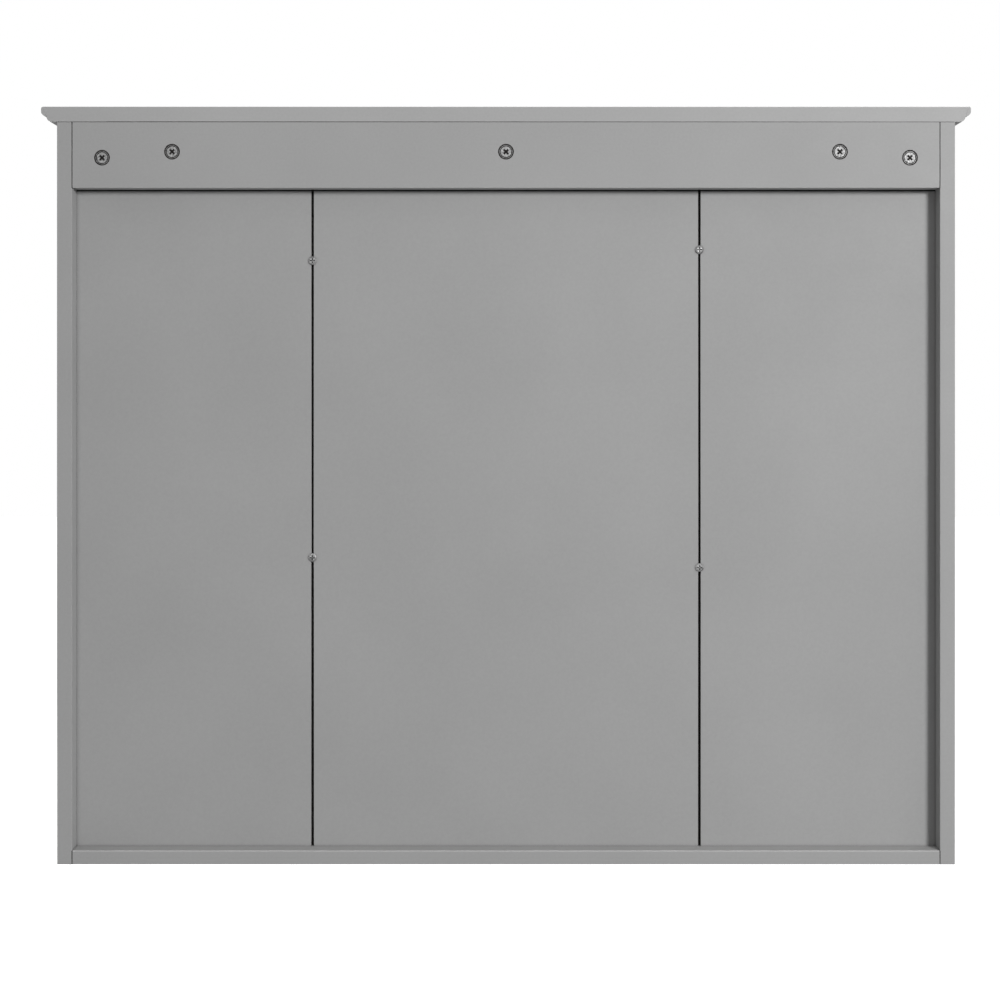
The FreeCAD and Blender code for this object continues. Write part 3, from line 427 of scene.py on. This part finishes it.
# The rounded faces take the second material: a painted highlight on the crown, rail and bottom
# board.
ARRIS = {
    "crown_board": (0.5, ARRIS_HIGHLIGHT_PAINT), "hanging_rail": (0.5, ARRIS_HIGHLIGHT_PAINT),
    "bottom_board": (0.6, ARRIS_HIGHLIGHT_PAINT),
    "left_side_panel": (0.5, PAINT), "right_side_panel": (0.5, PAINT),
    # Painted shade: the back panels' rounded edges are near black, which widens the dark seams
    # between them.
    "left_back_panel": (0.3, GAP_SHADE), "centre_back_panel": (0.3, GAP_SHADE),
    "right_back_panel": (0.3, GAP_SHADE),
}
for name, (radius, arris) in ARRIS.items():
    soften(nodes[name], radius * MM, arris)
for door in DOORS:
    for member in ("hinge_stile", "knob_stile", "top_rail", "bottom_rail"):
        soften(nodes[f"{door}_door_{member}"], 0.6 * MM, PAINT)
    for level in ("lower", "upper"):
        soften(nodes[f"{door}_{level}_shelf"], 1.2 * MM, PAINT)


LOCK_FACE_SUNK = 0.0002
NEARLY_FLUSH = -0.0001


def sink_lock_faces(node):
    """Lets the cam locks' flat faces lie a hair below the wood around them."""
    tree, whole = geometry_group("sunk lock faces")
    where = place(tree, "GeometryNodeInputPosition").outputs[0]
    depth = place(tree, "ShaderNodeSeparateXYZ", {"Vector": where}).outputs["Y"]
    moved = place(tree, "GeometryNodeSetPosition", {
        "Geometry": whole, "Selection": maths(tree, "GREATER_THAN", depth, NEARLY_FLUSH),
        "Offset": (0.0, -LOCK_FACE_SUNK, 0.0)})
    node.modifiers.new("sunk faces", "NODES").node_group = close_group(tree, moved)


sink_lock_faces(nodes["cam_locks"])


# ---------------------------------------------------------------- pieces made here


def circle(mesh, centre, radius, count):
    """Points round a centre, in a plane that faces the wall."""
    turns = [2 * math.pi * k / count for k in range(count)]
    return [mesh.verts.new(centre + Vector((radius * math.cos(turn), 0, radius * math.sin(turn))))
            for turn in turns]


def join_loops(mesh, here, there):
    for k in range(len(here)):
        j = (k + 1) % len(here)
        mesh.faces.new((here[k], here[j], there[j], there[k]))


def new_piece(name, mesh, body, slot, *materials):
    data = bpy.data.meshes.new(name)
    mesh.to_mesh(data)
    mesh.free()
    piece = bpy.data.objects.new(name, data)
    bpy.context.scene.collection.objects.link(piece)
    dress(piece, *materials)
    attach(piece, body)
    return piece


BEVEL_WIDE = 0.0185
BEVEL_SUNK = 0.0008


def bevelled_mirror(door):
    """A mirror pane with a ground bevel round its face, in place of the plain pane."""
    low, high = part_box(f"{door}_mirror")
    mesh = bmesh.new()

    def ring(inset, y):
        corners = ((low.x + inset, low.z + inset), (high.x - inset, low.z + inset),
                   (high.x - inset, high.z - inset), (low.x + inset, high.z - inset))
        return [mesh.verts.new((x, y, z)) for x, z in corners]

    rear = ring(0.0, high.y)
    rim = ring(0.0, low.y + BEVEL_SUNK)
    flat = ring(BEVEL_WIDE, low.y)
    rear_face = mesh.faces.new(rear)
    mesh.faces.new(flat)
    for i in range(4):
        j = (i + 1) % 4
        mesh.faces.new((rim[i], rim[j], flat[j], flat[i]))
        mesh.faces.new((rear[i], rear[j], rim[j], rim[i])).material_index = 1
    rear_face.material_index = 1
    bmesh.ops.recalc_face_normals(mesh, faces=mesh.faces)
    pane = new_piece(f"{door}_bevelled_mirror", mesh, f"{door}_door", "mirror",
                     FINISHES["mirror"], GLASS_EDGE)
    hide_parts(f"{door}_mirror")


CLIP_OUTLINE = ((-0.0115, 0.0), (0.0, 0.0), (0.0022, -0.0029), (0.0095, -0.0029))
CLIP_THICK = 0.0009
CLIP_HALF_WIDE = 0.0055
HEAD_RADIUS = 0.0030
HEAD_HIGH = 0.0012
HEAD_SIDES = 20
HEAD_DOME = ((1.0, 0.0), (1.0, 0.35), (0.86, 0.72), (0.60, 0.93))
HEAD_FROM_EDGE = 0.0065
SIDE_CLIPS_AT = (0.14, 0.5, 0.86)


def add_clip(mesh, at, inward, across):
    """A stepped spring clip: it is screwed to the frame and its toe presses the backing board."""
    rear = Vector((0, 1, 0))
    sections = []
    for side in (-1, 1):
        shift = at + across * (side * CLIP_HALF_WIDE)
        under = [mesh.verts.new(shift + inward * u + rear * v) for u, v in CLIP_OUTLINE]
        over = [mesh.verts.new(shift + inward * u + rear * (v + CLIP_THICK))
                for u, v in CLIP_OUTLINE]
        sections.append((under, over))
    (under_a, over_a), (under_b, over_b) = sections
    for i in range(len(CLIP_OUTLINE) - 1):
        mesh.faces.new((over_a[i], over_a[i + 1], over_b[i + 1], over_b[i]))
        mesh.faces.new((under_b[i], under_b[i + 1], under_a[i + 1], under_a[i]))
        mesh.faces.new((under_a[i], under_a[i + 1], over_a[i + 1], over_a[i]))
        mesh.faces.new((over_b[i], over_b[i + 1], under_b[i + 1], under_b[i]))
    mesh.faces.new((under_a[0], over_a[0], over_b[0], under_b[0]))
    mesh.faces.new((over_a[-1], under_a[-1], under_b[-1], over_b[-1]))


def add_screw_head(mesh, at):
    """A low domed screw head that faces the rear."""
    rings = [circle(mesh, at + Vector((0, rise * HEAD_HIGH, 0)), HEAD_RADIUS * share, HEAD_SIDES)
             for share, rise in HEAD_DOME]
    for lower, upper in zip(rings, rings[1:]):
        join_loops(mesh, lower, upper)
    top = mesh.verts.new(at + Vector((0, HEAD_HIGH, 0)))
    for k in range(HEAD_SIDES):
        mesh.faces.new((rings[-1][k], rings[-1][(k + 1) % HEAD_SIDES], top))
    mesh.faces.new(rings[0])


def backing_clips(door):
    """Clips that hold the mirror and its backing board in the door frame's rebate."""
    low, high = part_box(f"{door}_backing_board")
    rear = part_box(f"{door}_door_top_rail")[1].y
    clips, heads = bmesh.new(), bmesh.new()
    places = []
    for share in SIDE_CLIPS_AT:
        z = low.z + (high.z - low.z) * share
        places.append((Vector((low.x, rear, z)), Vector((1, 0, 0)), Vector((0, 0, 1))))
        places.append((Vector((high.x, rear, z)), Vector((-1, 0, 0)), Vector((0, 0, -1))))
    middle = (low.x + high.x) / 2
    places.append((Vector((middle, rear, low.z)), Vector((0, 0, 1)), Vector((-1, 0, 0))))
    places.append((Vector((middle, rear, high.z)), Vector((0, 0, -1)), Vector((1, 0, 0))))
    for at, inward, across in places:
        add_clip(clips, at, inward, across)
        add_screw_head(heads, at - inward * HEAD_FROM_EDGE + Vector((0, CLIP_THICK, 0)))
    for mesh in (clips, heads):
        bmesh.ops.recalc_face_normals(mesh, faces=mesh.faces)
    made = new_piece(f"{door}_backing_clips", clips, f"{door}_door", "nickel", FINISHES["nickel"])
    rounded = made.modifiers.new("arris", "BEVEL")
    rounded.width = 0.0002
    rounded.segments = 2
    heads_made = new_piece(f"{door}_clip_screws", heads, f"{door}_door", "screw_steel",
                           FINISHES["screw_steel"])
    heads_made.data.shade_smooth()


for door in DOORS:
    bevelled_mirror(door)
    backing_clips(door)


JOINT_WIDE = 0.0009
JOINT_SUNK = 0.00001
JOINT_DEEP = 0.0008
RAIL_SHADOW_TALL = 0.0013
CROWN_JOINT_INSET = 0.001
BOTTOM_JOINT_INSET = 0.0003


def add_joint_shade_strip(mesh, low, high, face=0.0):
    """A narrow dark strip of painted shade in the gap between two boards, set just below their rear
    faces.
    """
    lows = (low[0], face - JOINT_DEEP, low[1])
    highs = (high[0], face - JOINT_SUNK, high[1])
    made = bmesh.ops.create_cube(mesh, size=1.0)["verts"]
    for vert in made:
        for axis in range(3):
            vert.co[axis] = highs[axis] if vert.co[axis] > 0 else lows[axis]


def joint_shade_strips():
    """Dark strips of painted shade: a painted shadow on the back panels under the hanging rail, and
    the shade in the hairline joints round the rail, under the crown and at the bottom board's ends."""
    mesh = bmesh.new()
    rail_low, rail_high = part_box("hanging_rail")
    bottom_low, bottom_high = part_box("bottom_board")
    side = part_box("right_side_panel")[1].x
    half = JOINT_WIDE / 2
    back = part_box("centre_back_panel")[1].y + 2 * JOINT_SUNK
    # Painted shadow of the hanging rail, as a dark strip on the back panels just under it.
    add_joint_shade_strip(mesh, (rail_low.x, rail_low.z - RAIL_SHADOW_TALL), (rail_high.x, rail_low.z), back)
    reach = side - CROWN_JOINT_INSET
    add_joint_shade_strip(mesh, (-reach, rail_high.z - half), (reach, rail_high.z + half))
    for x in (rail_low.x, rail_high.x):
        add_joint_shade_strip(mesh, (x - half, rail_low.z), (x + half, rail_high.z))
        low = bottom_low.z + BOTTOM_JOINT_INSET
        add_joint_shade_strip(mesh, (x - half, low), (x + half, bottom_high.z))
    new_piece("joint_shade_strips", mesh, "cabinet", "painted", GAP_SHADE)


def rear_lock_centres():
    """Centres of the cam locks that face the wall, found from their flat faces."""
    face = [v.co for v in nodes["cam_locks"].data.vertices if v.co.y > NEARLY_FLUSH]
    groups = []
    for point in sorted(face, key=lambda co: co.x):
        if not groups or point.x - groups[-1][0].x > LOCKS_APART:
            groups.append([])
        groups[-1].append(point)
    return [((min(p.x for p in g) + max(p.x for p in g)) / 2,
             (min(p.z for p in g) + max(p.z for p in g)) / 2) for g in groups]


LOCK_RINGS = ((0.00668, 0.00786, 0.00003), (0.00540, 0.00605, 0.00006))
LOCK_CROSS_LONG, LOCK_CROSS_WIDE, LOCK_CROSS_SUNK = 0.0032, 0.00095, 0.0005
LOCK_DARK_THICK = 0.0003
LOCK_RING_SIDES = 48
LOCKS_APART = 0.02


def add_ring(mesh, x, z, inner, outer, sunk):
    """A closed flat ring that faces the wall."""
    near, far = -sunk, -sunk - LOCK_DARK_THICK
    loops = [circle(mesh, Vector((x, y, z)), radius, LOCK_RING_SIDES)
             for radius, y in ((inner, near), (outer, near), (outer, far), (inner, far))]
    for here, there in zip(loops, loops[1:] + loops[:1]):
        join_loops(mesh, here, there)


def add_bar(mesh, x, z, way, sunk):
    """One closed bar of a lock's cross, at an angle to the horizontal."""
    corners = bmesh.ops.create_cube(mesh, size=2.0)["verts"]
    along = Vector((math.cos(way), 0, math.sin(way)))
    aside = Vector((-along.z, 0, along.x))
    centre = Vector((x, -sunk - LOCK_DARK_THICK / 2, z))
    for corner in corners:
        side = corner.co.copy()
        corner.co = (centre + along * (side.x * LOCK_CROSS_LONG)
                     + aside * (side.z * LOCK_CROSS_WIDE)
                     + Vector((0, side.y * LOCK_DARK_THICK / 2, 0)))


def lock_shade_sheets():
    """Painted shade: dark sheets in the gap round each cam lock, in its ring groove and in its
    cross recess.
    """
    mesh = bmesh.new()
    for x, z in rear_lock_centres():
        for inner, outer, sunk in LOCK_RINGS:
            add_ring(mesh, x, z, inner, outer, sunk)
        for turn, lift in ((45, 0.0), (135, 0.00002)):
            add_bar(mesh, x, z, math.radians(turn), LOCK_CROSS_SUNK + lift)
    bmesh.ops.recalc_face_normals(mesh, faces=mesh.faces)
    new_piece("lock_shade_sheets", mesh, "cabinet", "zinc", GAP_SHADE)


joint_shade_strips()
lock_shade_sheets()


# ---------------------------------------------------------------- stage, light and camera


def floor():
    """A wide pale floor, well below a cabinet that hangs on a wall. It shows only from above."""
    mesh = bmesh.new()
    level = cad_box[0].z - FLOOR_DROP
    mesh.faces.new([mesh.verts.new((x * FLOOR_HALF, y * FLOOR_HALF, level)) for x, y in
                    ((-1, -1), (1, -1), (1, 1), (-1, 1))])
    data = bpy.data.meshes.new("floor")
    mesh.to_mesh(data)
    mesh.free()
    ground = bpy.data.objects.new("floor", data)
    bpy.context.scene.collection.objects.link(ground)
    material = bpy.data.materials.new("pale floor")
    material.use_nodes = True
    tree = material.node_tree
    shader = tree.nodes["Principled BSDF"]
    rays = place(tree, "ShaderNodeLightPath").outputs
    shade = blend_colours(tree, rays["Is Diffuse Ray"], grey(0.86), grey(0.17))
    tree.links.new(shade, shader.inputs["Base Color"])
    shader.inputs["Roughness"].default_value = 0.9
    shader.inputs["Emission Color"].default_value = grey(1.0)
    seen = maths(tree, "SUBTRACT", 1.0, rays["Is Diffuse Ray"])
    tree.links.new(maths(tree, "MULTIPLY", seen, 0.78), shader.inputs["Emission Strength"])
    clear = place(tree, "ShaderNodeBsdfTransparent")
    under = place(tree, "ShaderNodeNewGeometry").outputs["Backfacing"]
    unseen = maths(tree, "MAXIMUM", under, rays["Is Glossy Ray"])
    both = place(tree, "ShaderNodeMixShader", {"Fac": unseen})
    tree.links.new(shader.outputs[0], both.inputs[1])
    tree.links.new(clear.outputs[0], both.inputs[2])
    tree.links.new(both.outputs[0], tree.nodes["Material Output"].inputs["Surface"])
    data.materials.append(material)


def sky():
    """White behind the cabinet, a weak even fill, and a soft upward fade for reflections."""
    world = bpy.data.worlds.new("studio")
    world.use_nodes = True
    tree = world.node_tree
    shown = tree.nodes["Background"]
    rays = place(tree, "ShaderNodeLightPath").outputs
    way = place(tree, "ShaderNodeTexCoord").outputs["Generated"]
    height = place(tree, "ShaderNodeSeparateXYZ", {"Vector": way}).outputs["Z"]
    aslant = place(tree, "ShaderNodeVectorMath", {0: way, 1: (0.35, 0.0, 0.94)},
                   operation="DOT_PRODUCT").outputs["Value"]
    fade = stretch(tree, aslant, -0.40, 0.45, 0.42, 0.92)
    seen = maths(tree, "MAXIMUM", fade, rays["Is Camera Ray"])
    above = stretch(tree, height, 0.0, 1.0, 0.04, FILL)
    fill = maths(tree, "MULTIPLY", rays["Is Diffuse Ray"], above)
    other = maths(tree, "MULTIPLY", maths(tree, "SUBTRACT", 1.0, rays["Is Diffuse Ray"]), seen)
    tree.links.new(maths(tree, "ADD", fill, other), shown.inputs["Strength"])
    shown.inputs["Color"].default_value = grey(1.0)
    bpy.context.scene.world = world


def soft_light(name, at, towards, size, power):
    data = bpy.data.lights.new(name, "AREA")
    data.shape = "DISK"
    data.size = size
    data.energy = power
    lamp = bpy.data.objects.new(name, data)
    lamp.location = at
    lamp.rotation_mode = "QUATERNION"
    lamp.rotation_quaternion = (Vector(towards) - Vector(at)).to_track_quat("-Z", "Y")
    bpy.context.scene.collection.objects.link(lamp)


def camera():
    data = bpy.data.cameras.new("camera")
    data.sensor_width = SENSOR
    data.lens = SENSOR * CAMERA_REACH / VIEW_WIDTH
    data.shift_x, data.shift_y = CAMERA_SHIFT
    eye = bpy.data.objects.new("camera", data)
    offset = Vector((CAMERA_SHIFT[0], 0.0, -CAMERA_SHIFT[1])) * VIEW_WIDTH
    eye.location = VIEW_CENTRE + offset + Vector((0, CAMERA_REACH, 0))
    eye.rotation_mode = "QUATERNION"
    eye.rotation_quaternion = Vector((0, -1, 0)).to_track_quat("-Z", "Y")
    bpy.context.scene.collection.objects.link(eye)
    bpy.context.scene.camera = eye


# Each lamp's name, place, width and power. All look at the middle of the cabinet.
LAMPS = (
    ("rear key", (-1.90, 3.0, 0.62), 0.82, 98.5),
    ("rear fill", (1.1, 3.2, 0.45), 0.60, 6.5),
    ("front key", (1.7, -2.4, 1.2), 1.5, 105),
)
FILL = 0.52
MIDDLE = (cad_box[0] + cad_box[1]) / 2
floor()
sky()
for name, at, size, power in LAMPS:
    soft_light(name, at, MIDDLE, size, power)
camera()
bpy.context.scene.view_settings.view_transform = "Standard"
